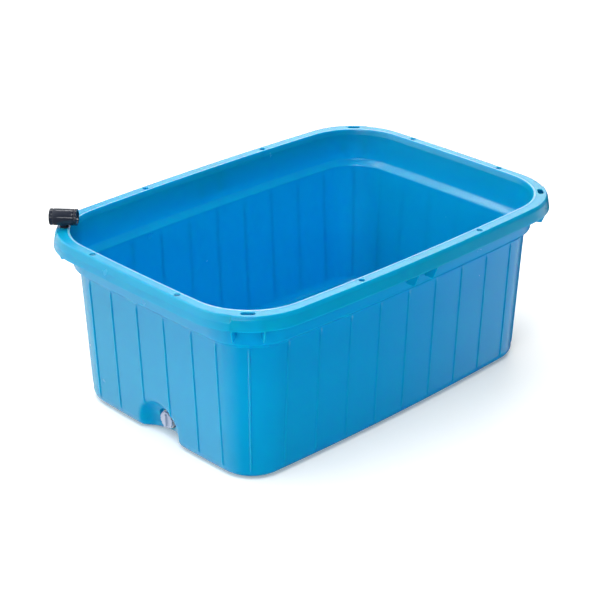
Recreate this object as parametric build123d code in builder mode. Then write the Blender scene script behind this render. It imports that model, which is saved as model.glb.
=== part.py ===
"""Moulded livestock water trough with a swivelling inlet tee and a screw-in drain plug.

Units are millimetres. The origin is the centre of the footprint on the ground, +X runs along
the length, +Y across the width and +Z up. The tee stands on the -X, +Y corner of the rim and
the drain is in the middle of the -X end.
"""
import math
import os

from build123d import *

# Driving dimensions of the tub
HEIGHT = 406.0
HALF_LENGTH = 500.0        # to the outer edge of the rim's flat top, at mid end
HALF_WIDTH = 351.0         # to the outer edge of the rim's flat top, at mid side
SIDE_BOW = 17.6            # how far a long side curves in by its corner
END_BOW = 7.1              # how far a short end curves in by its corner
RIM_CORNER = 147.0         # corner radius of the rim's flat top
DIAGONAL = 45.5            # direction of the middle of a corner, degrees from the X axis
WALL = 3.6

# Rim and skirt. A "grow" is a distance outward from the outer edge of the rim's flat top.
SKIRT_Z = HEIGHT - 32.0
SKIRT_GROW = 11.5
SKIRT_WALL = 3.4
SKIRT_CREST_GROW = 4.9     # where the skirt would meet the flat, before its edge is rounded
RIM_EDGE_ROUND = 6.0
LIP_DEPTH = 13.0

# Sections of the outside and of the inside of the walls: height, grow, corner radius
FLOOR = 4.0
SHOULDER_Z = 314.0
FOOT_GROW = -58.0
SHOULDER_GROW = -44.0
OUTER_SECTIONS = [
    (0.0, FOOT_GROW, 88.0),
    (SHOULDER_Z, SHOULDER_GROW, 100.0),
    (326.0, -29.0, 118.0),
    (HEIGHT - 1.0, -16.4, 144.0),
]
INNER_SECTIONS = [
    (FLOOR, -61.7, 84.0),
    (318.5, -47.6, 96.5),
    (330.5, -32.2, 114.5),
    (HEIGHT - LIP_DEPTH, -24.5, 131.0),
    (HEIGHT + 1.0, -19.7, 142.0),
]
FOOT_ROUND = 28.0
FOOT_ROUND_INSIDE = 24.0

# Upright ribs on the lower wall
RIB_WIDTH = 3.4
RIB_PROUD = 2.6
RIB_ROOT = -2.2
RIB_TOP = 311.0
RIB_FOOT = 22.0
RIB_RAMP = 6.0
SIDE_RIBS = [86.0 * step for step in range(-4, 5)]
END_RIBS = [-202.0, -129.0, -43.0, 43.0, 129.0, 202.0]

# Gussets that stiffen the skirt
GUSSET_THICK = 3.6
GUSSET_FOOT_Z = 343.0
GUSSET_FOOT_GROW = -3.0
GUSSET_ROOT_GROW = -34.0
GUSSET_SIDE_X = 28.5
GUSSET_CORNER_ANGLE = 12.5

# Holes through the rim's flat top
RIM_HOLE_R = 6.75
RIM_HOLE_GROW = -8.5
SIDE_HOLE_X = 181.0
END_HOLE_Y = 135.0
CORNER_SLOT_GROW = -9.8
CORNER_SLOT_LENGTH = 30.0
CORNER_SLOT_WIDTH = 13.0

# Drain recess: a dished scoop, open at the ground and rounded into the underside, with a flat
# seat for the fitting
SCOOP_HALF_WIDTH = 64.0
SCOOP_DEPTH = 32.5
SCOOP_Z = 25.0
SCOOP_FOOT_ROUND = 24.0
SCOOP_MOUTH_X = -443.5
DRAIN_Z = 39.0
SEAT_X = -411.0
SEAT_R = 26.0
SEAT_THICK = 6.0
SEAT_BOSS_X = -430.0

# Drain fitting. The plug's thread is a plain cylinder at the outer diameter of a G3/4 thread.
THREAD_R = 13.22
THREAD_PITCH = 1.814
THREAD_TURNS = 6
RUNNING_GAP = 0.05
BARREL_R = 17.0
BARREL_END_X = -389.0
DRAIN_HOLE_R = 17.2
GASKET_R = 21.5
GASKET_THICK = 2.0
FLANGE_R = 20.5
FLANGE_THICK = 3.5
BACK_NUT_FLATS = 44.0
BACK_NUT_THICK = 9.0
PLUG_SEAL_THICK = 1.5
PLUG_SEAL_R = 17.0
PLUG_CAP_R = 18.5
PLUG_CAP_THICK = 4.0
PLUG_LUG_R = 1.6
PLUG_LUGS = 12
PLUG_WING_LENGTH = 30.0
PLUG_WING_WIDTH = 6.0
PLUG_WING_HEIGHT = 5.0
PLUG_BORE_R = 8.5

# Inlet tee on the corner of the rim
TEE_GROW = -12.5
TEE_AIM = -48.0            # where the open end points, degrees from +X
TEE_LENGTH = 60.0
TEE_R = 18.2
TEE_AXIS_Z = HEIGHT + 22.5
SOCKET_R = 13.05
SOCKET_DEPTH = 22.0
WATERWAY_R = 10.0
RING_GROOVE_IN = 7.0
RING_GROOVE_WIDTH = 2.4
RING_GROOVE_DEEP = 1.1
NECK_R = 12.5              # where the neck meets the run
NECK_FOOT_R = 8.6
BUSH_R = 8.2
BUSH_HOLE_R = 8.3
BUSH_BORE_R = 6.0
BUSH_FLANGE_R = 9.8
BUSH_FLANGE_THICK = 1.4
BUSH_END_Z = HEIGHT - WALL - 1.0
PEG_R = BUSH_BORE_R - RUNNING_GAP
PEG_TOP_Z = HEIGHT + 8.7
SWIVEL_GAP = 0.3
PEG_WASHER_R = 9.0
PEG_WASHER_THICK = 1.2
PEG_NUT_FLATS = 16.0
PEG_NUT_THICK = 6.5
PEG_END = 1.8              # how far the peg stands out of its nut

# A long side and a short end are arcs of these radii, centred on the Y and X axes
SIDE_R = (HALF_LENGTH**2 + SIDE_BOW**2) / (2 * SIDE_BOW)
END_R = (HALF_WIDTH**2 + END_BOW**2) / (2 * END_BOW)
SIDE_CENTRE = HALF_WIDTH - SIDE_R
END_CENTRE = HALF_LENGTH - END_R


def corner_centre():
    """Centre of the rim's corner arc: it lies at radius less corner from both arcs' centres."""
    apart = math.hypot(END_CENTRE, SIDE_CENTRE)
    from_side = SIDE_R - RIM_CORNER
    from_end = END_R - RIM_CORNER
    along = (apart**2 + from_side**2 - from_end**2) / (2 * apart)
    across = math.sqrt(from_side**2 - along**2)
    run_x, run_y = END_CENTRE / apart, -SIDE_CENTRE / apart
    return along * run_x + across * run_y, SIDE_CENTRE + along * run_y - across * run_x


CORNER_X, CORNER_Y = corner_centre()


def bowed_outline(sketch, grow, corner):
    """The tub's outline in an open sketch: where four large circles overlap, corners rounded."""
    with Locations((0, SIDE_CENTRE)):
        Circle(SIDE_R + grow)
    with Locations((0, -SIDE_CENTRE)):
        Circle(SIDE_R + grow, mode=Mode.INTERSECT)
    for centre in (END_CENTRE, -END_CENTRE):
        with Locations((centre, 0)):
            Circle(END_R + grow, mode=Mode.INTERSECT)
    fillet(sketch.vertices(), corner)


def side_y(x, grow):
    """Half width of the outline at a place along its length."""
    return SIDE_CENTRE + math.sqrt((SIDE_R + grow)**2 - x**2)


def end_x(y, grow):
    """Half length of the outline at a place across its width."""
    return END_CENTRE + math.sqrt((END_R + grow)**2 - y**2)


def wall_grow(z):
    """Grow of the lower wall's outside at a height."""
    return FOOT_GROW + (SHOULDER_GROW - FOOT_GROW) * z / SHOULDER_Z


def upright_plane(x, y, heading):
    """Upright plane whose x axis points outward at a heading in degrees and whose y axis is up."""
    turn = math.radians(heading)
    outward = Vector(math.cos(turn), math.sin(turn), 0)
    return Plane(origin=(x, y, 0), x_dir=outward, z_dir=outward.cross(Vector(0, 0, 1)))


def corner_places(angle_from_diagonal):
    """For each corner: centre of its arc, and the heading turned from the diagonal."""
    places = []
    for along, across in ((1, 1), (-1, 1), (-1, -1), (1, -1)):
        heading = math.radians(DIAGONAL + angle_from_diagonal)
        out = math.degrees(math.atan2(across * math.sin(heading), along * math.cos(heading)))
        places.append((along * CORNER_X, across * CORNER_Y, out))
    return places


def rib_outline(reach):
    """Side view of a rib: it follows the wall and ramps away at both ends."""
    Polyline(
        (reach(wall_grow(RIB_FOOT) + RIB_ROOT), RIB_FOOT),
        (reach(wall_grow(RIB_FOOT + RIB_RAMP) + RIB_PROUD), RIB_FOOT + RIB_RAMP),
        (reach(wall_grow(RIB_TOP - RIB_RAMP) + RIB_PROUD), RIB_TOP - RIB_RAMP),
        (reach(wall_grow(RIB_TOP) + RIB_ROOT), RIB_TOP),
        close=True,
    )


def gusset_outline(reach):
    """Side view of a gusset: it fills the skirt and slants in below it."""
    Polyline(
        (reach(GUSSET_ROOT_GROW), GUSSET_FOOT_Z),
        (reach(GUSSET_FOOT_GROW), GUSSET_FOOT_Z),
        (reach(SKIRT_GROW - 1.5), SKIRT_Z + 1.0),
        (reach(SKIRT_CREST_GROW - 1.5), HEIGHT - 2.0),
        (reach(GUSSET_ROOT_GROW), HEIGHT - 2.0),
        close=True,
    )


def hexagon_r(flats):
    """Corner radius of a hexagon from its width across flats."""
    return flats / math.sqrt(3)


# Solid blanks that the tub's shell is made from
with BuildPart() as outside:
    for z, grow, corner in OUTER_SECTIONS:
        with BuildSketch(Plane.XY.offset(z)) as section:
            bowed_outline(section, grow, corner)
    loft(ruled=True)
    fillet(outside.faces().sort_by(Axis.Z)[0].edges(), FOOT_ROUND)

with BuildPart() as inside:
    for z, grow, corner in INNER_SECTIONS:
        with BuildSketch(Plane.XY.offset(z)) as section:
            bowed_outline(section, grow, corner)
    loft(ruled=True)
    fillet(inside.faces().sort_by(Axis.Z)[0].edges(), FOOT_ROUND_INSIDE)

with BuildPart() as rim:
    for z, grow in ((SKIRT_Z, SKIRT_GROW), (HEIGHT, SKIRT_CREST_GROW)):
        with BuildSketch(Plane.XY.offset(z)) as section:
            bowed_outline(section, grow, RIM_CORNER + grow)
    loft(ruled=True)
    fillet(rim.faces().sort_by(Axis.Z)[-1].edges(), RIM_EDGE_ROUND)
    for z, grow in ((SKIRT_Z, SKIRT_GROW), (HEIGHT - WALL, SKIRT_CREST_GROW)):
        with BuildSketch(Plane.XY.offset(z)) as section:
            bowed_outline(section, grow - SKIRT_WALL, RIM_CORNER + grow - SKIRT_WALL)
    loft(ruled=True, mode=Mode.SUBTRACT)

with BuildPart() as ribs:
    for turned in (90, -90):
        for x in SIDE_RIBS:
            with BuildSketch(upright_plane(x, 0, turned)):
                with BuildLine():
                    rib_outline(lambda grow, x=x: side_y(x, grow))
                make_face()
    for turned in (0, 180):
        for y in END_RIBS:
            with BuildSketch(upright_plane(0, y, turned)):
                with BuildLine():
                    rib_outline(lambda grow, y=y: end_x(y, grow))
                make_face()
    for x, y, heading in corner_places(0):
        with BuildSketch(upright_plane(x, y, heading)):
            with BuildLine():
                rib_outline(lambda grow: RIM_CORNER + grow)
            make_face()
    extrude(amount=RIB_WIDTH / 2, both=True)

with BuildPart() as gussets:
    for turned in (90, -90):
        for x in (-GUSSET_SIDE_X, GUSSET_SIDE_X):
            with BuildSketch(upright_plane(x, 0, turned)):
                with BuildLine():
                    gusset_outline(lambda grow, x=x: side_y(x, grow))
                make_face()
    for angle in (-GUSSET_CORNER_ANGLE, GUSSET_CORNER_ANGLE):
        for x, y, heading in corner_places(angle):
            with BuildSketch(upright_plane(x, y, heading)):
                with BuildLine():
                    gusset_outline(lambda grow: RIM_CORNER + grow)
                make_face()
    extrude(amount=GUSSET_THICK / 2, both=True)

# The scoop is part of a ball, which meets the end wall in a circle of SCOOP_HALF_WIDTH
scoop_r = (SCOOP_HALF_WIDTH**2 + SCOOP_DEPTH**2) / (2 * SCOOP_DEPTH)
scoop_x = SCOOP_MOUTH_X + SCOOP_DEPTH - scoop_r
scoop_plane = Plane(origin=(scoop_x, 0, 0), x_dir=(1, 0, 0), z_dir=(0, -1, 0))
drain_plane = Plane(origin=(0, 0, DRAIN_Z), x_dir=(0, 1, 0), z_dir=(1, 0, 0))


def scoop_outline(ball, ground):
    """Half section of the scoop: a ball on a foot that spreads out to the ground."""
    foot = SCOOP_FOOT_ROUND + scoop_r - ball
    spread = ball + foot
    bend = math.sqrt(0.5)
    Polyline((0, ball + SCOOP_Z), (0, -1), (spread, -1), (spread, ground))
    ThreePointArc(
        (spread, ground),
        (spread - foot * bend, ground + foot * (1 - bend)),
        (ball, ground + foot),
    )
    Line((ball, ground + foot), (ball, SCOOP_Z))
    ThreePointArc((ball, SCOOP_Z), (ball * bend, SCOOP_Z + ball * bend), (0, ball + SCOOP_Z))


with BuildPart() as scoop_hollow:
    with BuildSketch(scoop_plane):
        with BuildLine():
            scoop_outline(scoop_r, 0)
        make_face()
    revolve(axis=Axis((scoop_x, 0, 0), (0, 0, 1)))

with BuildPart() as scoop_wall:
    with BuildSketch(scoop_plane):
        with BuildLine():
            scoop_outline(scoop_r + WALL, FLOOR)
        make_face()
    revolve(axis=Axis((scoop_x, 0, 0), (0, 0, 1)))
    add(outside.part, mode=Mode.INTERSECT)

# Tee corner: the -X, +Y one
tee_x, tee_y, tee_heading = corner_places(0)[1]
tee_out = RIM_CORNER + TEE_GROW
tee_x += tee_out * math.cos(math.radians(tee_heading))
tee_y += tee_out * math.sin(math.radians(tee_heading))

with BuildPart() as tub_shell:
    add(rim.part)
    add(outside.part)
    add(ribs.part)
    add(gussets.part)
    add(inside.part, mode=Mode.SUBTRACT)
    add(scoop_wall.part)
    with BuildSketch(drain_plane.offset(SEAT_BOSS_X)):
        Circle(SEAT_R + WALL)
    extrude(amount=SEAT_X + SEAT_THICK - SEAT_BOSS_X)
    add(scoop_hollow.part, mode=Mode.SUBTRACT)
    with BuildSketch(drain_plane.offset(SCOOP_MOUTH_X)):
        Circle(SEAT_R)
    extrude(amount=SEAT_X - SCOOP_MOUTH_X, mode=Mode.SUBTRACT)
    with BuildSketch(drain_plane.offset(SEAT_X)):
        Circle(SEAT_R)
    extrude(amount=SEAT_THICK)
    with BuildSketch(drain_plane.offset(SEAT_X)):
        Circle(DRAIN_HOLE_R)
    extrude(amount=SEAT_THICK, mode=Mode.SUBTRACT)
    with BuildSketch(Plane.XY.offset(HEIGHT)):
        side_hole_y = side_y(SIDE_HOLE_X, RIM_HOLE_GROW)
        end_hole_x = end_x(END_HOLE_Y, RIM_HOLE_GROW)
        with GridLocations(2 * SIDE_HOLE_X, 2 * side_hole_y, 2, 2):
            Circle(RIM_HOLE_R)
        with GridLocations(2 * end_hole_x, 2 * END_HOLE_Y, 2, 2):
            Circle(RIM_HOLE_R)
        for x, y, heading in corner_places(0):
            if x < 0 < y:
                continue
            out = RIM_CORNER + CORNER_SLOT_GROW
            slot_x = x + out * math.cos(math.radians(heading))
            slot_y = y + out * math.sin(math.radians(heading))
            with Locations((slot_x, slot_y)):
                SlotOverall(CORNER_SLOT_LENGTH, CORNER_SLOT_WIDTH, rotation=heading + 90)
        with Locations((tee_x, tee_y)):
            Circle(BUSH_HOLE_R)
    extrude(amount=-WALL, mode=Mode.SUBTRACT)

# Drain fitting: each piece is made of discs stacked along X from the recess inward
flange_x = SEAT_X - GASKET_THICK
seal_x = flange_x - FLANGE_THICK
cap_x = seal_x - PLUG_SEAL_THICK
face_x = cap_x - PLUG_CAP_THICK
boss_back_x = SEAT_X + SEAT_THICK
nut_x = boss_back_x + GASKET_THICK
thread_length = THREAD_PITCH * THREAD_TURNS

with BuildPart() as drain_body:
    with BuildSketch(drain_plane.offset(seal_x)):
        Circle(FLANGE_R)
    extrude(amount=FLANGE_THICK)
    with BuildSketch(drain_plane.offset(flange_x)):
        Circle(BARREL_R)
    extrude(amount=BARREL_END_X - flange_x)
    with BuildSketch(drain_plane.offset(seal_x)):
        Circle(THREAD_R + RUNNING_GAP)
    extrude(amount=BARREL_END_X - seal_x, mode=Mode.SUBTRACT)

with BuildPart() as drain_outer_gasket:
    with BuildSketch(drain_plane.offset(flange_x)):
        Circle(GASKET_R)
        Circle(BARREL_R, mode=Mode.SUBTRACT)
    extrude(amount=GASKET_THICK)

with BuildPart() as drain_inner_gasket:
    with BuildSketch(drain_plane.offset(boss_back_x)):
        Circle(GASKET_R)
        Circle(BARREL_R, mode=Mode.SUBTRACT)
    extrude(amount=GASKET_THICK)

with BuildPart() as drain_back_nut:
    with BuildSketch(drain_plane.offset(nut_x)):
        RegularPolygon(hexagon_r(BACK_NUT_FLATS), 6)
        Circle(BARREL_R, mode=Mode.SUBTRACT)
    extrude(amount=BACK_NUT_THICK)

with BuildPart() as drain_plug_seal:
    with BuildSketch(drain_plane.offset(cap_x)):
        Circle(PLUG_SEAL_R)
        Circle(THREAD_R + RUNNING_GAP, mode=Mode.SUBTRACT)
    extrude(amount=PLUG_SEAL_THICK)

with BuildPart() as drain_plug:
    with BuildSketch(drain_plane.offset(face_x)):
        Circle(PLUG_CAP_R)
        with PolarLocations(PLUG_CAP_R, PLUG_LUGS):
            Circle(PLUG_LUG_R, mode=Mode.SUBTRACT)
    extrude(amount=PLUG_CAP_THICK)
    with BuildSketch(drain_plane.offset(face_x - PLUG_WING_HEIGHT)):
        SlotOverall(PLUG_WING_LENGTH, PLUG_WING_WIDTH, rotation=90)
    extrude(amount=PLUG_WING_HEIGHT)
    with BuildSketch(drain_plane.offset(cap_x)):
        Circle(THREAD_R)
    extrude(amount=PLUG_SEAL_THICK + thread_length)
    with BuildSketch(drain_plane.offset(cap_x)):
        Circle(PLUG_BORE_R)
    extrude(amount=PLUG_SEAL_THICK + thread_length, mode=Mode.SUBTRACT)

# Inlet tee: a level run on a short neck, held by a threaded peg through the rim
run_aim = math.radians(TEE_AIM)
run_dir = Vector(math.cos(run_aim), math.sin(run_aim), 0)
run_plane = Plane(origin=(tee_x, tee_y, TEE_AXIS_Z), x_dir=(0, 0, 1), z_dir=run_dir)
neck_z = HEIGHT + BUSH_FLANGE_THICK + SWIVEL_GAP
washer_z = BUSH_END_Z - SWIVEL_GAP - PEG_WASHER_THICK
peg_nut_z = washer_z - PEG_NUT_THICK

with BuildPart() as inlet_tee:
    with BuildSketch(run_plane):
        Circle(TEE_R)
    extrude(amount=TEE_LENGTH / 2, both=True)
    for z, radius in ((neck_z, NECK_FOOT_R), (TEE_AXIS_Z - WATERWAY_R, NECK_R)):
        with BuildSketch(Plane.XY.offset(z)):
            with Locations((tee_x, tee_y)):
                Circle(radius)
    loft(ruled=True)
    for end in (-1, 1):
        groove = end * (TEE_LENGTH / 2 - RING_GROOVE_IN)
        with BuildSketch(run_plane.offset(groove)):
            Circle(TEE_R)
            Circle(TEE_R - RING_GROOVE_DEEP, mode=Mode.SUBTRACT)
        extrude(amount=RING_GROOVE_WIDTH / 2, both=True, mode=Mode.SUBTRACT)
    with BuildSketch(run_plane):
        Circle(WATERWAY_R)
    extrude(amount=TEE_LENGTH / 2, both=True, mode=Mode.SUBTRACT)
    for end in (-1, 1):
        with BuildSketch(run_plane.offset(end * TEE_LENGTH / 2)):
            Circle(SOCKET_R)
        extrude(amount=-end * SOCKET_DEPTH, mode=Mode.SUBTRACT)
    with BuildSketch(Plane.XY.offset(neck_z)):
        with Locations((tee_x, tee_y)):
            Circle(PEG_R)
    extrude(amount=PEG_TOP_Z - neck_z, mode=Mode.SUBTRACT)

with BuildPart() as tee_peg:
    with BuildSketch(Plane.XY.offset(peg_nut_z - PEG_END)):
        with Locations((tee_x, tee_y)):
            Circle(PEG_R)
    extrude(amount=PEG_TOP_Z - peg_nut_z + PEG_END)

with BuildPart() as rim_bush:
    with BuildSketch(Plane.XY.offset(BUSH_END_Z)):
        with Locations((tee_x, tee_y)):
            Circle(BUSH_R)
    extrude(amount=HEIGHT - BUSH_END_Z)
    with BuildSketch(Plane.XY.offset(HEIGHT)):
        with Locations((tee_x, tee_y)):
            Circle(BUSH_FLANGE_R)
    extrude(amount=BUSH_FLANGE_THICK)
    with BuildSketch(Plane.XY.offset(BUSH_END_Z)):
        with Locations((tee_x, tee_y)):
            Circle(BUSH_BORE_R)
    extrude(amount=HEIGHT + BUSH_FLANGE_THICK - BUSH_END_Z, mode=Mode.SUBTRACT)

with BuildPart() as peg_washer:
    with BuildSketch(Plane.XY.offset(washer_z)):
        with Locations((tee_x, tee_y)):
            Circle(PEG_WASHER_R)
            Circle(PEG_R, mode=Mode.SUBTRACT)
    extrude(amount=PEG_WASHER_THICK)

with BuildPart() as peg_nut:
    with BuildSketch(Plane.XY.offset(peg_nut_z)):
        with Locations((tee_x, tee_y)):
            RegularPolygon(hexagon_r(PEG_NUT_FLATS), 6)
            Circle(PEG_R, mode=Mode.SUBTRACT)
    extrude(amount=PEG_NUT_THICK)

pieces = {
    "tub_shell": tub_shell,
    "inlet_tee": inlet_tee,
    "tee_peg": tee_peg,
    "rim_bush": rim_bush,
    "peg_washer": peg_washer,
    "peg_nut": peg_nut,
    "drain_body": drain_body,
    "drain_outer_gasket": drain_outer_gasket,
    "drain_inner_gasket": drain_inner_gasket,
    "drain_back_nut": drain_back_nut,
    "drain_plug": drain_plug,
    "drain_plug_seal": drain_plug_seal,
}

os.makedirs("parts", exist_ok=True)
for name, piece in pieces.items():
    piece.part.label = name
    export_step(piece.part, f"parts/{name}.step")

print(f"corner centre {CORNER_X:.1f}, {CORNER_Y:.1f}; tee axis {tee_x:.2f}, {tee_y:.2f}")
print(f"rim holes: side y {side_hole_y:.2f}, end x {end_hole_x:.2f}")
print(f"plug travel {thread_length:.3f}")
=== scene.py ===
"""Looks of the moulded livestock water trough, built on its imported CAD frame.

Lengths in this script are millimetres until a mesh is made, and metres in the scene. The tub is
one closed surface: a wall profile carried round a bowed outline, with its ribs and the drain
recess worked into it. The tee's run is a turned surface. Small fittings keep their CAD shape.
"""

import math

import bpy
import numpy as np
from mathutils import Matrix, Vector


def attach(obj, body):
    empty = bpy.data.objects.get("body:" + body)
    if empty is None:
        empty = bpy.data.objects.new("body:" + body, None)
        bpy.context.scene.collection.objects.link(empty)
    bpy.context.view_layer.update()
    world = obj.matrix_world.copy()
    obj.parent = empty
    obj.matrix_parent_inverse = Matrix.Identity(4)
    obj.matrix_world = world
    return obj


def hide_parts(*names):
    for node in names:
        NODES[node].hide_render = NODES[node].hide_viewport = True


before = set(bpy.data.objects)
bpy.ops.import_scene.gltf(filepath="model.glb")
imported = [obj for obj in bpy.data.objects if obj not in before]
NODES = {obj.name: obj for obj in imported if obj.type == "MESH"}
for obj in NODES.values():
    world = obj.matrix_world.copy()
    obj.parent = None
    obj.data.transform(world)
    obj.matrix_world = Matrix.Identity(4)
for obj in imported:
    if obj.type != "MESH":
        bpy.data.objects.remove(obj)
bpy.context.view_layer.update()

# Outline of the rim's flat top
HALF_LENGTH, HALF_WIDTH = 500.0, 351.0
SIDE_BOW, END_BOW, RIM_CORNER = 17.6, 7.1, 147.0
DIAGONAL = math.radians(45.5)
SIDE_R = (HALF_LENGTH**2 + SIDE_BOW**2) / (2 * SIDE_BOW)
END_R = (HALF_WIDTH**2 + END_BOW**2) / (2 * END_BOW)
SIDE_CENTRE = HALF_WIDTH - SIDE_R
END_CENTRE = HALF_LENGTH - END_R

HEIGHT, WALL, FLOOR = 406.0, 3.6, 4.0
SKIRT_Z, SKIRT_GROW, SKIRT_WALL, CREST_GROW = 374.0, 11.5, 3.4, 4.9

# Ribs
SIDE_RIBS = (0.0, 86.0, 172.0, 258.0, 344.0)
END_RIBS = (43.0, 129.0, 202.0)
RIB_PROUD = 2.3
RIB_STEPS = (-5.0, -3.2, -2.1, -1.1, 1.1, 2.1, 3.2, 5.0)
RIB_FOOT, RIB_TOP, RIB_RAMP = 21.0, 312.0, 8.0
RIB_CLEAR = 6.4

# Stations of a corner fan out from a point this far outward of the corner's centre, so a turn
# about that point is about this many times the turn about the centre
FAN_SHIFT, FAN_GAIN = 16.0, 1.11

# Past this many degrees from a corner's diagonal, the ends have a broader rim edge
EDGE_STEP = 12.0

# Rim holes and slots: places along the sides and ends, radius, and distance in from the edge
HOLE_X, HOLE_Y, HOLE_R, HOLE_INSET = 181.0, 135.0, 6.75, 8.5
SLOT_R, SLOT_HALF, SLOT_INSET = 6.5, 8.5, 9.8
BUSH_HOLE_R = 8.3

# Gussets under the skirt: off the middle of each side, and off each corner's diagonal
GUSSET_X, GUSSET_TURN, GUSSET_THICK, GUSSET_EDGE = 28.5, math.radians(12.5), 3.6, 0.9
GUSSET_LOW, GUSSET_TOP = 343.0, 404.0

# Drain recess
SCOOP_HALF_WIDTH, SCOOP_DEPTH, SCOOP_Z, SCOOP_MOUTH_X = 64.0, 32.5, 25.0, -443.5
SCOOP_R = (SCOOP_HALF_WIDTH**2 + SCOOP_DEPTH**2) / (2 * SCOOP_DEPTH)
SCOOP_X = SCOOP_MOUTH_X + SCOOP_DEPTH - SCOOP_R
SCOOP_FOOT_ROUND = 24.0
DRAIN_Z, SEAT_X, SEAT_R, SEAT_THICK = 39.0, -411.0, 26.0, 6.0
BOSS_R, BOSS_DEPTH, BORE_R, DRAIN_COLUMNS = 29.6, 19.6, 17.2, 72

# Tee
TEE_X, TEE_Y, TEE_Z, TEE_AIM = -445.04, 291.09, HEIGHT + 22.5, math.radians(-48)
TEE_R, TEE_HALF, SOCKET_R, SOCKET_STOP, GROOVE_INSET = 18.2, 30.0, 13.05, 8.0, 7.0
NECK_Z, NECK_R, NECK_SPREAD, NECK_FOOT, NECK_SUNK = HEIGHT + 1.7, 8.7, 4.8, 1.4, 0.7


def mesh_object(name, points, faces, body, slot, replaces=()):
    """A mesh piece from points in millimetres and rows of face corners, riding on a body."""
    mesh = bpy.data.meshes.new(name)
    mesh.from_pydata((np.asarray(points, float) * 0.001).tolist(), [], [list(f) for f in faces])
    mesh.update()
    made = bpy.data.objects.new(name, mesh)
    bpy.context.scene.collection.objects.link(made)
    if body:
        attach(made, body)
    if replaces:
        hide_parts(*replaces)
    return made


def grid_faces(rows, columns, closed_rows=False):
    """Quads between rows of points, every row a closed loop; closed_rows joins last to first."""
    count = rows if closed_rows else rows - 1
    r, c = np.meshgrid(np.arange(count), np.arange(columns), indexing="ij")
    r2, c2 = (r + 1) % rows, (c + 1) % columns
    quads = np.stack([r * columns + c, r * columns + c2, r2 * columns + c2, r2 * columns + c], -1)
    return quads.reshape(-1, 4)


def shade(obj, angle=34.0):
    """Smooth shading, with a sharp edge wherever two faces turn by more than the angle."""
    mesh = obj.data
    mesh.polygons.foreach_set("use_smooth", np.ones(len(mesh.polygons), bool))
    mesh.update()
    normals = np.zeros(len(mesh.polygons) * 3)
    mesh.polygons.foreach_get("normal", normals)
    normals = normals.reshape(-1, 3)
    loop_edge = np.zeros(len(mesh.loops), int)
    mesh.loops.foreach_get("edge_index", loop_edge)
    totals = np.zeros(len(mesh.polygons), int)
    mesh.polygons.foreach_get("loop_total", totals)
    loop_face = np.repeat(np.arange(len(totals)), totals)
    order = np.argsort(loop_edge, kind="stable")
    edge, face = loop_edge[order], loop_face[order]
    pair = edge[1:] == edge[:-1]
    turned = (normals[face[1:]] * normals[face[:-1]]).sum(1) < math.cos(math.radians(angle))
    sharp = np.zeros(len(mesh.edges), bool)
    sharp[edge[1:][pair & turned]] = True
    layer = mesh.attributes.get("sharp_edge")
    layer = layer or mesh.attributes.new("sharp_edge", "BOOLEAN", "EDGE")
    layer.data.foreach_set("value", sharp)
    mesh.update()
    return obj


def corner_circle(grow, corner):
    """Centre of a corner's arc: at radius less corner from the centres of both long arcs."""
    apart = math.hypot(END_CENTRE, SIDE_CENTRE)
    from_side, from_end = SIDE_R + grow - corner, END_R + grow - corner
    along = (apart**2 + from_side**2 - from_end**2) / (2 * apart)
    across = math.sqrt(from_side**2 - along**2)
    run_x, run_y = END_CENTRE / apart, -SIDE_CENTRE / apart
    return np.array([along * run_x + across * run_y, SIDE_CENTRE + along * run_y - across * run_x])


RIM_CENTRE = corner_circle(0.0, RIM_CORNER)
FAN = RIM_CENTRE + FAN_SHIFT * np.array([math.cos(DIAGONAL), math.sin(DIAGONAL)])


def quarter_stations():
    """Lines that cut the outline in one quarter, end first: start point, heading, rib share."""
    y = np.concatenate([np.arange(0.0, 78.0, 4.5), np.linspace(78.0, FAN[1], 14)])
    x = np.linspace(FAN[0], 0.0, 24)
    fan = np.radians(np.linspace(0.0, 90.0, 25))[1:-1]
    step = DIAGONAL - np.radians(EDGE_STEP * FAN_GAIN + np.array([-0.3, 0.1, 0.5, 0.9]))
    fan = np.sort(np.concatenate([fan[np.abs(fan - step.mean()) > 0.02], step]))
    share = np.interp(np.abs(RIB_STEPS), [1.1, 2.1, 3.2], [1.0, 0.45, 0.0])
    steps = np.array(RIB_STEPS)

    def with_ribs(values, ribs, scale=1.0):
        """Values with those by a rib taken out and the rib's own steps put in."""
        keep = np.all(np.abs(values[:, None] - np.array(ribs)[None]) > RIB_CLEAR * scale, 1)
        rib = np.concatenate([r + steps * scale for r in ribs])
        height = np.tile(share, len(ribs))
        every = np.concatenate([values[keep], rib])
        ribbed = np.concatenate([np.zeros(keep.sum()), height])
        order = np.argsort(every)
        return every[order], ribbed[order]

    y, y_rib = with_ribs(y, END_RIBS)
    x, x_rib = with_ribs(x, SIDE_RIBS)
    x, x_rib = x[x >= 0][::-1], x_rib[x >= 0][::-1]
    fan, fan_rib = with_ribs(fan, (DIAGONAL,), 1.0 / 88.0)
    y, y_rib = y[y <= FAN[1]], y_rib[y <= FAN[1]]
    if x[-1] > 0:
        x, x_rib = np.append(x, 0.0), np.append(x_rib, 1.0)
    starts = np.concatenate([
        np.stack([0 * y, y], 1), np.tile(FAN, (len(fan), 1)), np.stack([x, 0 * x], 1)])
    headings = np.concatenate([
        np.tile([1.0, 0.0], (len(y), 1)), np.stack([np.cos(fan), np.sin(fan)], 1),
        np.tile([0.0, 1.0], (len(x), 1))])
    return starts, headings, np.concatenate([y_rib, fan_rib, x_rib])


STARTS, HEADINGS, RIB_SHARE = quarter_stations()


def far_hit(centre, radius):
    """Where each station's line leaves a circle: t = -b + sqrt(b*b - c)."""
    to = STARTS - centre
    b = (to * HEADINGS).sum(1)
    c = (to * to).sum(1) - radius**2
    t = -b + np.sqrt(np.maximum(b * b - c, 0.0))
    return STARTS + t[:, None] * HEADINGS


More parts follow.
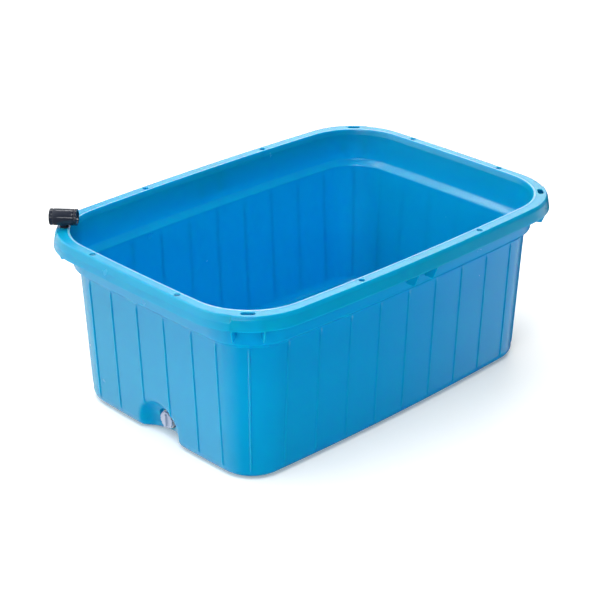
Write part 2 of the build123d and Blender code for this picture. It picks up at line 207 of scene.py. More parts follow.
def quarter_ring(grow, corner):
    """Points and outward directions of one quarter of an outline, on its three arcs."""
    side_c, end_c = np.array([0.0, SIDE_CENTRE]), np.array([END_CENTRE, 0.0])
    mid = corner_circle(grow, corner)
    side, end, bend = (
        far_hit(side_c, SIDE_R + grow), far_hit(end_c, END_R + grow), far_hit(mid, corner))
    on_side = side_c + (mid - side_c) / np.linalg.norm(mid - side_c) * (SIDE_R + grow)
    on_end = end_c + (mid - end_c) / np.linalg.norm(mid - end_c) * (END_R + grow)
    is_side = (side[:, 0] <= on_side[0]) & (HEADINGS[:, 1] > 0.5)
    is_end = (end[:, 1] <= on_end[1]) & (HEADINGS[:, 0] > 0.5)
    points = np.where(is_side[:, None], side, np.where(is_end[:, None], end, bend))
    centre = np.where(is_side[:, None], side_c, np.where(is_end[:, None], end_c, mid))
    out = points - centre
    return points, out / np.linalg.norm(out, axis=1)[:, None]


def whole(quarter, flip):
    """A quarter's rows mirrored into a closed loop; flip says if the rows are positions."""
    def turn(values, sx, sy):
        return values * [sx, sy] if flip else values
    return np.concatenate([
        quarter, turn(quarter, -1, 1)[::-1][1:], turn(quarter, -1, -1)[1:],
        turn(quarter, 1, -1)[::-1][1:-1]])


RIB_LOOP = whole(RIB_SHARE, False)
QUARTER_RIM = quarter_ring(0.0, RIM_CORNER)[0]


def ring(grow, z, corner, rib=0.0):
    """One closed loop of the tub, pushed outward along its ribs by rib millimetres."""
    points, out = quarter_ring(grow, corner)
    flat = whole(points, True) + whole(out, True) * (RIB_LOOP * rib)[:, None]
    return np.column_stack([flat, np.full(len(flat), z)])


def rounded_path(corners):
    """Rows of (grow, z, corner radius) along a path whose bends are rounded.

    Every corner is (grow, z, radius, rounding, steps in the bend, heights or count up to here).
    A bend of rounding r starts r*tan(half the turn) before the corner, and its points are
    centre + r*(cos, sin) between the two ends.
    """
    p = np.array([c[:3] for c in corners], float)
    rows = [p[:1]]
    last = p[0]
    for i in range(1, len(p)):
        here = p[i]
        bend = corners[i][3]
        if i + 1 < len(p) and bend > 0:
            a = (p[i - 1] - here)[:2] / np.linalg.norm((p[i - 1] - here)[:2])
            b = (p[i + 1] - here)[:2] / np.linalg.norm((p[i + 1] - here)[:2])
            half = math.acos(max(-1, min(1, float(a @ b)))) / 2
            reach = bend / math.tan(half)
            start = here + (p[i - 1] - here) * reach / np.linalg.norm((p[i - 1] - here)[:2])
            stop = here + (p[i + 1] - here) * reach / np.linalg.norm((p[i + 1] - here)[:2])
            centre = here[:2] + (a + b) / np.linalg.norm(a + b) * bend / math.sin(half)
            t0 = math.atan2(*(start[:2] - centre)[::-1])
            t1 = math.atan2(*(stop[:2] - centre)[::-1])
            swing = (t1 - t0 + math.pi) % (2 * math.pi) - math.pi
            share = np.linspace(0, 1, corners[i][4] + 1)
            angle = t0 + swing * share
            arc = np.column_stack([
                centre[0] + bend * np.cos(angle), centre[1] + bend * np.sin(angle),
                start[2] + (stop[2] - start[2]) * share])
        else:
            arc = here[None]
        between = corners[i][5]
        if isinstance(between, int):
            share = np.linspace(0, 1, between + 2)[1:-1]
        else:
            share = (np.array(between, float) - last[1]) / (arc[0, 1] - last[1])
        rows += [last + (arc[0] - last) * share[:, None], arc]
        last = arc[-1]
    return np.concatenate(rows)


def soft_max(a, b, width):
    """The larger of two values, eased over a width: half of a + b + sqrt((a - b)^2 + width^2)."""
    return 0.5 * (a + b + np.sqrt((a - b)**2 + width**2))


def scoop_reach(y, z, thicker, ground):
    """How far in along X the recess reaches, and whether it reaches there at all.

    It is a ball on a foot. At height z its radius is sqrt(R^2 - (z - middle)^2) above the middle,
    R below it, and R + f - sqrt(f^2 - (f - z)^2) on the foot, whose rounding is f.
    """
    ball, foot = SCOOP_R + thicker, SCOOP_FOOT_ROUND - thicker
    dome = ball**2 - np.maximum(z - SCOOP_Z, 0.0)**2
    drop = np.clip(foot - (z - ground), 0.0, foot)
    radius = np.sqrt(np.maximum(dome, 0.0)) + foot - np.sqrt(foot**2 - drop**2)
    inside = radius**2 - y**2
    return SCOOP_X + np.sqrt(np.maximum(inside, 0.0)), (inside > 0) & (dome > 0)


def scooped(points, thicker, ground, width):
    """Points of the drain end pushed in along X to the recess."""
    reach, inside = scoop_reach(points[:, 1], points[:, 2], thicker, ground)
    near = (points[:, 0] < -250) & inside
    points = points.copy()
    points[near, 0] = soft_max(points[near, 0], reach[near], width)
    return points


def end_share():
    """How far each station has the ends' broad rim edge: 1 along both ends, 0 along the sides."""
    heading = np.arctan2(QUARTER_RIM[:, 1] - RIM_CENTRE[1], QUARTER_RIM[:, 0] - RIM_CENTRE[0])
    turn = np.degrees(DIAGONAL - np.clip(heading, 0, math.pi / 2))
    return whole(np.clip((turn - EDGE_STEP) / 0.5, 0, 1), False)


def wall_path(shoulder, crest):
    """The tub's whole profile, with the rim's outer edge given by its two bends."""
    low = list(np.arange(34.0, 116.0, 6.0))
    return rounded_path([
        (-118.0, 0.0, 28.0, 0, 0, 0),
        (-58.0, 0.0, 88.0, 28.0, 10, 1),
        (-44.0, 314.0, 100.0, 7.0, 4, low + [150.0, 200.0, 250.0, 296.0, 303.0]),
        (-29.0, 326.0, 118.0, 8.0, 4, 1),
        (-16.8, HEIGHT - WALL, 143.4, 3.0, 4, 4),
        (CREST_GROW - SKIRT_WALL, HEIGHT - WALL, 148.5, 3.0, 4, 1),
        (SKIRT_GROW - SKIRT_WALL, SKIRT_Z, 155.1, 1.3, 3, 2),
        (SKIRT_GROW, SKIRT_Z, 158.5, 1.5, 4, 0),
        (shoulder[0], shoulder[1], RIM_CORNER + shoulder[0], shoulder[2], 5, 3),
        (crest[0], crest[1], RIM_CORNER + crest[0], crest[2], 5, 1),
        (crest[0] - 3.0, HEIGHT - 0.5, RIM_CORNER + crest[0] - 3.0, 4.0, 3, 0),
        (-15.6, HEIGHT - 0.5, 143.0, 1.2, 3, 2),
        (-17.0, HEIGHT, 142.2, 1.2, 3, 0),
        (-20.1, HEIGHT, 141.3, 1.5, 5, 0),
        (-24.5, HEIGHT - 13.0, 131.0, 7.0, 4, 1),
        (-32.2, 330.5, 114.5, 6.0, 4, 3),
        (-47.6, 318.5, 96.5, 6.5, 5, 1),
        (-61.7, FLOOR, 84.0, 24.0, 10, [260.0, 210.0, 160.0] + low[::-2]),
        (-121.7, FLOOR, 24.0, 0, 0, 1),
    ])


def tub_surface():
    """All rings of the tub, from the middle of its underside round the rim to its floor."""
    outer = wall_path((7.2, 398.0, 3.5), (3.4, HEIGHT, 3.0))
    broad = wall_path((9.0, 391.0, 2.4), (1.6, HEIGHT - 0.3, 4.5))
    on_end = end_share()[:, None]
    ledge = int(np.argmax(outer[:, 1] > 320))
    rim_top = int(np.argmax(outer[:, 1] > HEIGHT - 1))
    past_edge = rim_top + 20
    rings = []
    for i, (grow, z, corner) in enumerate(outer):
        rib = 0.0
        if i < ledge:
            foot = np.clip((z - RIB_FOOT) / RIB_RAMP, 0, 1)
            top = np.clip((RIB_TOP - z) / RIB_RAMP, 0, 1)
            rib = RIB_PROUD * (foot * foot * (3 - 2 * foot)) * (top * top * (3 - 2 * top))
        loop = ring(grow, z, corner, rib)
        if z > SKIRT_Z and i < past_edge:
            loop = loop * (1 - on_end) + ring(*broad[i]) * on_end
        if z < 120:
            loop = scooped(loop, *((0.0, 0.0) if i < rim_top else (WALL, FLOOR)), 2.6)
        rings.append(loop)
    first, final = rings[0], rings[-1]
    under = [first * [s, s, 1] for s in (0.25, 0.6)]
    floor = [final * [s, s, 1] for s in (0.6, 0.25)]
    rings = under + rings + floor
    columns = len(first)
    points = np.concatenate(rings)
    faces = grid_faces(len(rings), columns)
    bottom, top = len(points), len(points) + 1
    points = np.vstack([points, [0, 0, 0], [0, 0, FLOOR]])
    c = np.arange(columns)
    c2 = (c + 1) % columns
    start = (len(rings) - 1) * columns
    caps = [np.column_stack([np.full(columns, bottom), c2, c]),
            np.column_stack([np.full(columns, top), start + c, start + c2])]
    return points, [*faces.tolist(), *caps[0].tolist(), *caps[1].tolist()]


def turned(profile, columns):
    """Points and faces of a profile of (radius, height) turned about Z. Radius 0 is a pole.

    A profile without a pole is closed from its last point to its first.
    """
    profile = np.array(profile, float)
    angle = np.arange(columns) * 2 * math.pi / columns
    rows = [np.column_stack([
        r * np.cos(angle), r * np.sin(angle), np.full(columns, h)]) for r, h in profile if r > 0]
    poles = [(i, h) for i, (r, h) in enumerate(profile) if r == 0]
    points = np.concatenate(rows)
    faces = grid_faces(len(rows), columns, not poles).tolist()
    c = np.arange(columns)
    c2 = (c + 1) % columns
    for i, h in poles:
        centre = len(points)
        points = np.vstack([points, [0, 0, h]])
        edge = 0 if i == 0 else (len(rows) - 1) * columns
        order = (c2, c) if i == 0 else (c, c2)
        faces += np.column_stack(
            [np.full(columns, centre), edge + order[0], edge + order[1]]).tolist()
    return points, faces


def placed(points, origin, along, side=None):
    """Points turned so that their Z runs along a direction, then moved to an origin."""
    w = np.array(along, float) / np.linalg.norm(along)
    u = np.array(side if side is not None else (0, 0, 1) if abs(w[2]) < 0.9 else (1, 0, 0), float)
    u = u - w * (u @ w)
    u /= np.linalg.norm(u)
    return points @ np.array([u, np.cross(w, u), w]) + np.array(origin)


def cutter(name, points, faces):
    """A closed helper mesh for a cut. It is removed after use."""
    return mesh_object(name, points, faces, None, None)


def cut(obj, helpers, operation):
    """Cuts or joins helper meshes with a piece, then removes them."""
    for helper in helpers:
        change = obj.modifiers.new(helper.name, "BOOLEAN")
        change.object, change.operation, change.solver = helper, operation, "EXACT"
    graph = bpy.context.evaluated_depsgraph_get()
    made = bpy.data.meshes.new_from_object(obj.evaluated_get(graph))
    old = obj.data
    obj.modifiers.clear()
    obj.data = made
    made.name = old.name
    bpy.data.meshes.remove(old)
    for helper in helpers:
        mesh = helper.data
        bpy.data.objects.remove(helper)
        bpy.data.meshes.remove(mesh)


def flared_hole(radius, flare):
    """Profile of a hole's cutter: it widens softly where it meets both faces of the flat."""
    t = np.radians(np.linspace(0, 60, 5))
    top = [(radius + flare * (1 - math.cos(a)), -flare + flare * math.sin(a)) for a in t]
    low = [(radius + 0.6 * flare * (1 - math.cos(a)), -WALL + 0.6 * flare * (1 - math.sin(a)))
           for a in t][::-1]
    return [(0, -WALL - 3), (low[0][0], -WALL - 3), *low, *top, (top[-1][0], 3), (0, 3)]


def slot_points(points, half):
    """Round points drawn out along X into a slot's shape."""
    points = points.copy()
    points[:, 0] += np.sign(points[:, 0]) * half * (np.abs(points[:, 0]) > 1e-6)
    return points


def rim_cutters():
    """Cutters for the rim's round holes and corner slots and for the tee's bush."""
    helpers = []
    places = []
    for sx in (-1, 1):
        for sy in (-1, 1):
            y = SIDE_CENTRE + math.sqrt((SIDE_R - HOLE_INSET)**2 - HOLE_X**2)
            x = END_CENTRE + math.sqrt((END_R - HOLE_INSET)**2 - HOLE_Y**2)
            places += [(sx * HOLE_X, sy * y, HOLE_R), (sx * x, sy * HOLE_Y, HOLE_R)]
    places.append((TEE_X, TEE_Y, BUSH_HOLE_R))
    for i, (x, y, r) in enumerate(places):
        points, faces = turned(flared_hole(r, 0.3 if r == BUSH_HOLE_R else 0.9), 40)
        helpers.append(cutter(f"hole_{i}", points + [x, y, HEIGHT], faces))
    for i, (sx, sy) in enumerate(((-1, -1), (1, -1), (1, 1))):
        points, faces = turned(flared_hole(SLOT_R, 0.9), 42)
        points = slot_points(points, SLOT_HALF)
        out = RIM_CENTRE + (RIM_CORNER - SLOT_INSET) * np.array([math.cos(DIAGONAL), math.sin(DIAGONAL)])
        heading = math.atan2(sy * math.sin(DIAGONAL), sx * math.cos(DIAGONAL))
        side = (-math.sin(heading), math.cos(heading), 0)
        helpers.append(cutter(
            f"slot_{i}", placed(points, (sx * out[0], sy * out[1], HEIGHT), (0, 0, 1), side),
            faces))
    return helpers


def plate(outline, origin, outward, thick, edge):
    """A flat plate with a rounded edge: its outline's loop is carried across its thickness.

    Outline points are (distance outward, height). A loop at depth d is drawn in by
    edge - sqrt(edge^2 - (edge - d)^2) from the outline.
    """
    outline = np.array(outline, float)
    before, after = np.roll(outline, 1, 0) - outline, np.roll(outline, -1, 0) - outline
    before /= np.linalg.norm(before, axis=1)[:, None]
    after /= np.linalg.norm(after, axis=1)[:, None]
    middle = before + after
    sine = np.abs(before[:, 0] * after[:, 1] - before[:, 1] * after[:, 0])
    inward = middle / np.maximum(sine, 0.3)[:, None]
    depth = np.array([0.0, 0.12, 0.35, 1.0]) * edge
    inset = edge - np.sqrt(edge**2 - (edge - depth)**2)
    offsets = np.concatenate([-thick / 2 + depth, thick / 2 - depth[::-1]])
    insets = np.concatenate([inset, inset[::-1]])
    heading = np.array([math.cos(outward), math.sin(outward), 0.0])
    across = np.array([-math.sin(outward), math.cos(outward), 0.0])
    loops = []
    for offset, drawn in zip(offsets, insets):
        flat = outline + inward * drawn
        loops.append(flat[:, :1] * heading + flat[:, 1:] * [0, 0, 1] + across * offset)
    points = np.concatenate(loops) + np.array([*origin, 0.0])
    n = len(outline)
    faces = grid_faces(len(loops), n).tolist()
    faces += [list(range(n))[::-1], list(range((len(loops) - 1) * n, len(loops) * n))]
    return points, faces


def gusset_places():
    """Origin, heading and reach of every gusset: two by each mid side and two at each corner."""
    places = []
    for sx in (-1, 1):
        for sy in (-1, 1):
            y = SIDE_CENTRE + math.sqrt(SIDE_R**2 - GUSSET_X**2)
            places.append(((sx * GUSSET_X, 0.0), sy * math.pi / 2, y))
            for turn in (-GUSSET_TURN, GUSSET_TURN):
                heading = DIAGONAL + turn
                way = math.atan2(sy * math.sin(heading), sx * math.cos(heading))
                places.append(((sx * RIM_CENTRE[0], sy * RIM_CENTRE[1]), way, RIM_CORNER))
    return places


def gussets():
    """The plates that stiffen the skirt, as one piece."""
    every, faces, count = [], [], 0
    for origin, heading, reach in gusset_places():
        outline = [(reach - 26.0, GUSSET_LOW), (reach - 4.5, GUSSET_LOW),
                   (reach - 3.4, GUSSET_LOW + 0.6), (reach - 2.7, GUSSET_LOW + 1.8),
                   (reach + 9.2, SKIRT_Z), (reach + 9.0, SKIRT_Z + 3.0),
                   (reach + 3.4, GUSSET_TOP), (reach - 19.0, GUSSET_TOP)]
        points, own = plate(outline, origin, heading, GUSSET_THICK, GUSSET_EDGE)
        every.append(points)
        faces += [[v + count for v in f] for f in own]
        count += len(points)
    return np.concatenate(every), faces


def upright(obj):
    """Makes a closed mesh's faces point outward, by the sign of the volume that it holds."""
    mesh = obj.data
    mesh.calc_loop_triangles()
    co = np.zeros(len(mesh.vertices) * 3)
    mesh.vertices.foreach_get("co", co)
    co = co.reshape(-1, 3)
    tri = np.zeros(len(mesh.loop_triangles) * 3, int)
    mesh.loop_triangles.foreach_get("vertices", tri)
    a, b, c = (co[tri.reshape(-1, 3)[:, k]] for k in range(3))
    if (np.cross(a, b) * c).sum() < 0:
        mesh.flip_normals()
    return obj


def drain_boss():
    """Boss behind the drain's seat. Its hidden end follows the middle of the recess's wall."""
    points, faces = turned(
        [(0, 0), (10, 0), (20, 0), (BOSS_R, 0), (BOSS_R, 6), (BOSS_R, BOSS_DEPTH - 1.6),
         (BOSS_R - 0.4, BOSS_DEPTH - 0.4), (BOSS_R - 1.4, BOSS_DEPTH), (20, BOSS_DEPTH),
         (0, BOSS_DEPTH)], DRAIN_COLUMNS)
    points = placed(points, (0, 0, DRAIN_Z), (1, 0, 0))
    x = points[:, 0]
    middle = scoop_reach(points[:, 1], points[:, 2], WALL / 2, FLOOR / 2)[0]
    shown = np.maximum(SEAT_X + SEAT_THICK - BOSS_DEPTH + x, middle + 2.0)
    points[:, 0] = np.where(x < 0.1, middle, shown)
    return upright(cutter("boss", points, faces))


def drain_helper(name, profile, shift=0.0):
    """A helper turned about the drain's axis, its profile's heights measured from the seat."""
    points, faces = turned(profile, DRAIN_COLUMNS)
    return upright(cutter(name, placed(points, (SEAT_X + shift, 0, DRAIN_Z), (1, 0, 0)), faces))


# Tub: the seat is cleared first, then its pad is laid in with a rounded edge
tub = upright(mesh_object("tub", *tub_surface(), "tub", "tub", ("tub_shell",)))
seat = drain_helper("seat", [
    (0, -34), (SEAT_R + 1.2, -34), (SEAT_R + 1.2, -9.0), (SEAT_R, -6.0), (SEAT_R, -0.8),
    (SEAT_R - 0.8, 0), (0, 0)])
pad = drain_helper("pad", [
    (0, 0.0), (SEAT_R - 0.9, 0.0), (SEAT_R - 0.25, 0.25), (SEAT_R, 0.9), (SEAT_R, 4.5),
    (0, 4.5)], 0.05)
bore = drain_helper("bore", [(0, -20), (BORE_R, -20), (BORE_R, 20), (0, 20)])

cut(tub, [drain_boss()], "UNION")
cut(tub, [seat], "DIFFERENCE")
cut(tub, [pad], "UNION")
cut(tub, [bore] + [upright(h) for h in rim_cutters()], "DIFFERENCE")
shade(tub)

stiffeners = upright(mesh_object("skirt_gussets", *gussets(), "tub", "tub"))
shade(stiffeners, 40)


# Tee: the run is one closed turned surface, sockets and waterway included
def tee_profile():
    """Half section of the run: from the waterway out of one socket, and back in by the other."""
    groove = TEE_HALF - GROOVE_INSET

    def end(sign):
        """One end of the section. Its sign says which."""
        return [(r, sign * h) for r, h in (
            (10.0, SOCKET_STOP - 0.4), (10.4, SOCKET_STOP), (SOCKET_R, SOCKET_STOP),
            (SOCKET_R, SOCKET_STOP + 1.0), (SOCKET_R, TEE_HALF - 1.2),
            (SOCKET_R + 0.5, TEE_HALF - 0.3), (SOCKET_R + 1.2, TEE_HALF), (TEE_R - 1.6, TEE_HALF),
            (TEE_R - 0.7, TEE_HALF - 0.25), (TEE_R - 0.15, TEE_HALF - 0.9),
            (TEE_R, TEE_HALF - 1.8), (TEE_R, groove + 1.9), (TEE_R - 0.15, groove + 1.4),
            (TEE_R - 0.9, groove + 0.9), (TEE_R - 1.1, groove + 0.5), (TEE_R - 1.1, groove - 0.5),
            (TEE_R - 0.9, groove - 0.9), (TEE_R - 0.15, groove - 1.4), (TEE_R, groove - 1.9),
            (TEE_R, 10.0))]

    return end(1) + end(-1)[::-1]


run_dir = np.array([math.cos(TEE_AIM), math.sin(TEE_AIM), 0.0])
run, run_faces = turned(tee_profile(), 96)
run = placed(run, (TEE_X, TEE_Y, TEE_Z), run_dir)
tee = upright(mesh_object("tee_run", run, run_faces, "tee", "tee", ("inlet_tee",)))
shade(tee, 50)


def neck(columns=72):
    """The tee's short neck, which spreads to meet the run and is sunk a little into it.

    Its radius grows by spread * share^1.6, and its top follows the run's underside, which is
    sqrt(R^2 - across^2) below the run's axis.
    """
    angle = np.arange(columns) * 2 * math.pi / columns
    foot = NECK_Z + NECK_FOOT
    rows = [np.column_stack([r * np.cos(angle), r * np.sin(angle), np.full(columns, NECK_Z + h)])
            for r, h in ((7.8, 0.0), (8.4, 0.15), (8.6, 0.6), (NECK_R, NECK_FOOT))]
    for share in np.linspace(0.15, 1.0, 8):
        r = NECK_R + NECK_SPREAD * share**1.6
        x, y = r * np.cos(angle), r * np.sin(angle)
        across = -x * run_dir[1] + y * run_dir[0]
        meet = TEE_Z - np.sqrt(TEE_R**2 - across**2) + NECK_SUNK
        rows.append(np.column_stack([x, y, foot + (meet - foot) * share]))
    points = np.concatenate(rows)
    faces = grid_faces(len(rows), columns).tolist()
    faces += [list(range(columns))[::-1],
              list(range((len(rows) - 1) * columns, len(rows) * columns))]
    return points + [TEE_X, TEE_Y, 0], faces


tee_neck = shade(upright(mesh_object("tee_neck", *neck(), "tee", "tee")), 50)

# Small fittings keep their CAD shape, with their edges broken
EDGE = {"tee_peg": 0.5, "peg_washer": 0.2, "peg_nut": 0.5, "rim_bush": 0.3, "drain_body": 0.5,
        "drain_outer_gasket": 0.4, "drain_inner_gasket": 0.4, "drain_back_nut": 0.7,
        "drain_plug": 0.6, "drain_plug_seal": 0.3}
for name, width in EDGE.items():
    node = NODES[name]
    bevel = node.modifiers.new("broken_edges", "BEVEL")
    bevel.width, bevel.segments, bevel.limit_method = width * 0.001, 3, "ANGLE"
    bevel.angle_limit = math.radians(35)
    bevel.use_clamp_overlap = True


# Materials
def node_group(name, sockets_in, sockets_out):
    """An empty shader group with named inputs and outputs."""
    group = bpy.data.node_groups.new(name, "ShaderNodeTree")
    for label, kind, value in sockets_in:
        made = group.interface.new_socket(label, in_out="INPUT", socket_type=kind)
        if value is not None:
            made.default_value = value
    for label, kind in sockets_out:
        group.interface.new_socket(label, in_out="OUTPUT", socket_type=kind)
    return group, group.nodes.new("NodeGroupInput"), group.nodes.new("NodeGroupOutput")


def noise(group, scale, detail, where):
    """A noise texture read at a place."""
    made = group.nodes.new("ShaderNodeTexNoise")
    made.inputs["Scale"].default_value = scale
    made.inputs["Detail"].default_value = detail
    group.links.new(where, made.inputs["Vector"])
    return made


def mapped(group, value, low, high, out_low, out_high):
    """A value carried from one range to another, and held at its ends."""
    made = group.nodes.new("ShaderNodeMapRange")
    for label, number in (("From Min", low), ("From Max", high), ("To Min", out_low),
                          ("To Max", out_high)):
        made.inputs[label].default_value = number
    group.links.new(value, made.inputs["Value"])
    return made.outputs["Result"]


def sums(group, operation, a, b):
    """One arithmetic step between two values, either of which may be a number."""
    made = group.nodes.new("ShaderNodeMath")
    made.operation = operation
    for place, value in ((0, a), (1, b)):
        if isinstance(value, (int, float)):
            made.inputs[place].default_value = value
        else:
            group.links.new(value, made.inputs[place])
    return made.outputs[0]


def moulded_plastic():
    """Shared finish of moulded plastic: a cloudy colour, faint scuffs and an uneven skin."""
    group, given, out = node_group(
        "moulded_plastic",
        [("Place", "NodeSocketVector", None), ("Colour", "NodeSocketColor", (0.5, 0.5, 0.5, 1)),
         ("Cloud", "NodeSocketFloat", 0.05), ("Gloss", "NodeSocketFloat", 0.3),
         ("Grain", "NodeSocketFloat", 260.0)],
        [("Base Color", "NodeSocketColor"), ("Roughness", "NodeSocketFloat"),
         ("Height", "NodeSocketFloat")])
    place = given.outputs["Place"]
    cloud = noise(group, 7.0, 3.0, place)
    fine = noise(group, 60.0, 4.0, place)
    both = sums(group, "ADD", sums(group, "MULTIPLY", cloud.outputs[0], 0.7),
                sums(group, "MULTIPLY", fine.outputs[0], 0.3))
    centred = sums(group, "SUBTRACT", both, 0.5)
    scaled = sums(group, "MULTIPLY", centred, given.outputs["Cloud"])
    bright = sums(group, "ADD", sums(group, "MULTIPLY", scaled, 4.0), 1.0)
    mix = group.nodes.new("ShaderNodeVectorMath")
    mix.operation = "SCALE"
    group.links.new(given.outputs["Colour"], mix.inputs[0])
    group.links.new(bright, mix.inputs["Scale"])
    group.links.new(mix.outputs[0], out.inputs["Base Color"])
    scuff = noise(group, 22.0, 6.0, place)
    worn = mapped(group, scuff.outputs[0], 0.45, 0.8, 0.0, 0.025)
    patch = mapped(group, cloud.outputs[0], 0.3, 0.7, -0.015, 0.02)
    rough = sums(group, "ADD", sums(group, "ADD", given.outputs["Gloss"], worn), patch)
    group.links.new(rough, out.inputs["Roughness"])
    grain = group.nodes.new("ShaderNodeTexNoise")
    grain.inputs["Detail"].default_value = 2.0
    group.links.new(place, grain.inputs["Vector"])
    group.links.new(given.outputs["Grain"], grain.inputs["Scale"])
    wave = noise(group, 16.0, 1.0, place)
    height = sums(group, "ADD", sums(group, "MULTIPLY", grain.outputs[0], 0.12), wave.outputs[0])
    group.links.new(height, out.inputs["Height"])
    return group


PLASTIC = moulded_plastic()


def plastic(name, colour, gloss, cloud, bump, grain, subsurface=0.0):
    """A moulded plastic made from the shared finish. Light passes into it where it says so."""
    made = bpy.data.materials.new(name)
    made.use_nodes = True
    tree = made.node_tree
    shader = tree.nodes["Principled BSDF"]
    where = tree.nodes.new("ShaderNodeTexCoord")
    finish = tree.nodes.new("ShaderNodeGroup")
    finish.node_tree = PLASTIC
    tree.links.new(where.outputs["Object"], finish.inputs["Place"])
    finish.inputs["Colour"].default_value = (*colour, 1.0)
    finish.inputs["Gloss"].default_value = gloss
    finish.inputs["Cloud"].default_value = cloud
    finish.inputs["Grain"].default_value = grain
    tree.links.new(finish.outputs["Base Color"], shader.inputs["Base Color"])
    tree.links.new(finish.outputs["Roughness"], shader.inputs["Roughness"])
    relief = tree.nodes.new("ShaderNodeBump")
    relief.inputs["Strength"].default_value = 1.0
    relief.inputs["Distance"].default_value = bump
    tree.links.new(finish.outputs["Height"], relief.inputs["Height"])
    tree.links.new(relief.outputs["Normal"], shader.inputs["Normal"])
    shader.inputs["IOR"].default_value = 1.5
    if subsurface:
        shader.inputs["Subsurface Weight"].default_value = subsurface
        shader.inputs["Subsurface Radius"].default_value = (0.05, 0.6, 1.0)
        shader.inputs["Subsurface Scale"].default_value = 0.020
    return made


def painted_crest_highlight(material, low, high, paler):
    """Paints a highlight into a material: paler where its Object height lies between low and high
    metres.
    """
    tree = material.node_tree
    shader = tree.nodes["Principled BSDF"]
    was = shader.inputs["Base Color"].links[0].from_socket
    where = tree.nodes.new("ShaderNodeTexCoord")
    split = tree.nodes.new("ShaderNodeSeparateXYZ")
    tree.links.new(where.outputs["Object"], split.inputs[0])
    mix = tree.nodes.new("ShaderNodeMix")
    mix.data_type = "RGBA"
    tree.links.new(mapped(tree, split.outputs["Z"], low, high, 0.0, 0.4), mix.inputs["Factor"])
    tree.links.new(was, mix.inputs["A"])
    mix.inputs["B"].default_value = (*paler, 1.0)
    tree.links.new(mix.outputs["Result"], shader.inputs["Base Color"])


def wear(obj, material):
    """Gives a piece its material."""
    obj.data.materials.clear()
    obj.data.materials.append(material)


blue = plastic("blue_polyethylene", (0.0, 0.285, 0.46), 0.24, 0.012, 0.0002, 300.0, 1.0)
black = plastic("black_moulding", (0.018, 0.022, 0.034), 0.12, 0.04, 0.00005, 500.0)
nylon = plastic("black_nylon", (0.022, 0.022, 0.026), 0.38, 0.05, 0.0001, 700.0)
pale = plastic("pale_grey_moulding", (0.42, 0.47, 0.60), 0.28, 0.04, 0.0001, 600.0)
grey = plastic("grey_nylon", (0.50, 0.52, 0.58), 0.42, 0.05, 0.0001, 600.0)
rubber = plastic("black_rubber", (0.02, 0.02, 0.022), 0.62, 0.08, 0.0002, 900.0)
steel = plastic("plain_stainless", (0.62, 0.62, 0.63), 0.26, 0.05, 0.00005, 1200.0)
steel.node_tree.nodes["Principled BSDF"].inputs["Metallic"].default_value = 1.0

# Painted highlight: the rim's top crest is paled towards light blue, as if it caught the light
painted_crest_highlight(blue, (HEIGHT - 0.4) * 0.001, (HEIGHT - 0.1) * 0.001, (0.45, 0.62, 0.85))

wear(tub, blue)
wear(stiffeners, blue)
wear(tee, black)
wear(tee_neck, black)
for name, material in (("tee_peg", nylon), ("peg_nut", nylon), ("rim_bush", nylon),
                       ("peg_washer", steel), ("drain_body", grey), ("drain_back_nut", grey),
                       ("drain_plug", pale), ("drain_plug_seal", rubber),
                       ("drain_outer_gasket", rubber), ("drain_inner_gasket", rubber)):
    wear(NODES[name], material)
    shade(NODES[name], 35)

# Ground
GROUND_HALF = 9000
floor = mesh_object(
    "floor", [(-GROUND_HALF, -GROUND_HALF, 0), (GROUND_HALF, -GROUND_HALF, 0),
              (GROUND_HALF, GROUND_HALF, 0), (-GROUND_HALF, GROUND_HALF, 0)],
    [(0, 1, 2, 3)], None, None)
floor.visible_glossy = False
ground = plastic("pale_ground", (0.93, 0.93, 0.93), 0.55, 0.01, 0.0002, 40.0)
lit = ground.node_tree.nodes["Principled BSDF"]
lit.inputs["Emission Color"].default_value = (1.0, 1.0, 1.0, 1.0)
lit.inputs["Emission Strength"].default_value = 0.18
wear(floor, ground)


# Light
def soft_box(name, place, aim, width, depth, power):
    """A white rectangular lamp that faces a point."""
    lamp = bpy.data.lights.new(name, "AREA")
    lamp.shape, lamp.size, lamp.size_y = "RECTANGLE", width, depth
    lamp.energy = power
    made = bpy.data.objects.new(name, lamp)
    made.location = place
    made.rotation_euler = (Vector(aim) - Vector(place)).to_track_quat("-Z", "Y").to_euler()
    bpy.context.scene.collection.objects.link(made)
    return made


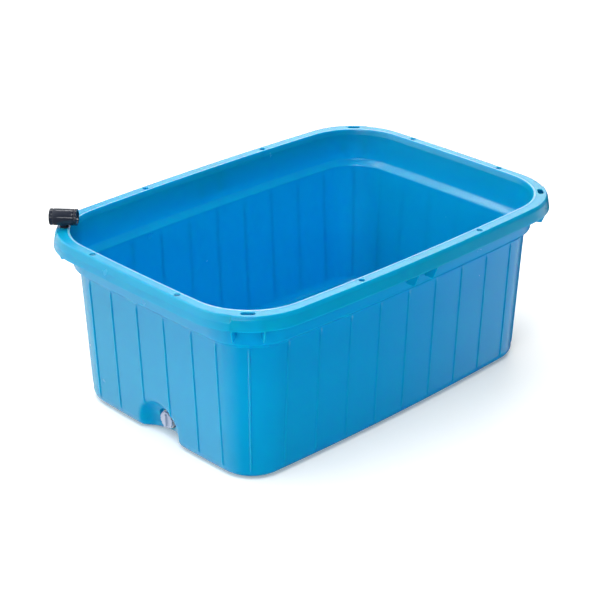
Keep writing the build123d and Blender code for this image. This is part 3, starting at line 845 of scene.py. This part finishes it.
TEE_SPOT = (-0.445, 0.291, 0.4285)
soft_box("glint_box", (-1.2, -1.05, 2.7), (-0.42, -0.3, 0.4), 0.6, 0.6, 26)
soft_box("low_strip", (-2.25, -1.33, 0.98), TEE_SPOT, 1.2, 0.10, 10.0)
soft_box("high_strip", (0.23, 0.90, 2.20), TEE_SPOT, 1.2, 0.10, 10.0)
front_box = soft_box("front_box", (-1.6, -3.2, 2.0), (0, 0, 0.2), 2.6, 2.0, 20)
sky_box = soft_box("sky_box", (0.0, 0.6, 4.6), (0, 0.6, 0), 6.0, 6.0, 235)
front_box.visible_glossy = False
sky_box.visible_glossy = False


def toward(tree, where, way, low, high, dim, bright):
    """Brightness that grows with the dot product of a direction and a way, between two values."""
    made = tree.nodes.new("ShaderNodeVectorMath")
    made.operation = "DOT_PRODUCT"
    made.inputs[1].default_value = way
    tree.links.new(where, made.inputs[0])
    return mapped(tree, made.outputs["Value"], low, high, dim, bright)


def studio_world():
    """A white studio: brightest to the left, with a bright patch low on the right and one above."""
    world = bpy.data.worlds.new("studio")
    world.use_nodes = True
    tree = world.node_tree
    where = tree.nodes.new("ShaderNodeTexCoord")
    place = where.outputs["Generated"]
    left = toward(tree, place, (-0.51, 0.85, 0.11), 0.15, 0.75, 0.05, 1.3)
    right = toward(tree, place, (0.905, -0.302, -0.302), 0.925, 0.975, 0.0, 1.2)
    above = toward(tree, place, (0.718, 0.569, 0.402), 0.962, 0.985, 0.0, 2.2)
    strength = sums(tree, "ADD", sums(tree, "ADD", left, right), above)
    background = tree.nodes["Background"]
    background.inputs["Color"].default_value = (1.0, 1.0, 1.0, 1.0)
    tree.links.new(strength, background.inputs["Strength"])
    return world


scene = bpy.context.scene
scene.world = studio_world()
scene.view_settings.view_transform = "Standard"
scene.view_settings.look = "None"
scene.view_settings.exposure = 0.0

# Camera
lens = bpy.data.cameras.new("camera")
lens.lens, lens.sensor_width = 101.26, 36.0
lens.clip_start, lens.clip_end = 0.1, 60.0
camera = bpy.data.objects.new("camera", lens)
camera.location = (-2.3994, -2.4498, 1.8402)
look = Vector((-0.0041, 0.0200, 0.1767)) - Vector(camera.location)
camera.rotation_euler = look.to_track_quat("-Z", "Y").to_euler()
scene.collection.objects.link(camera)
scene.camera = camera
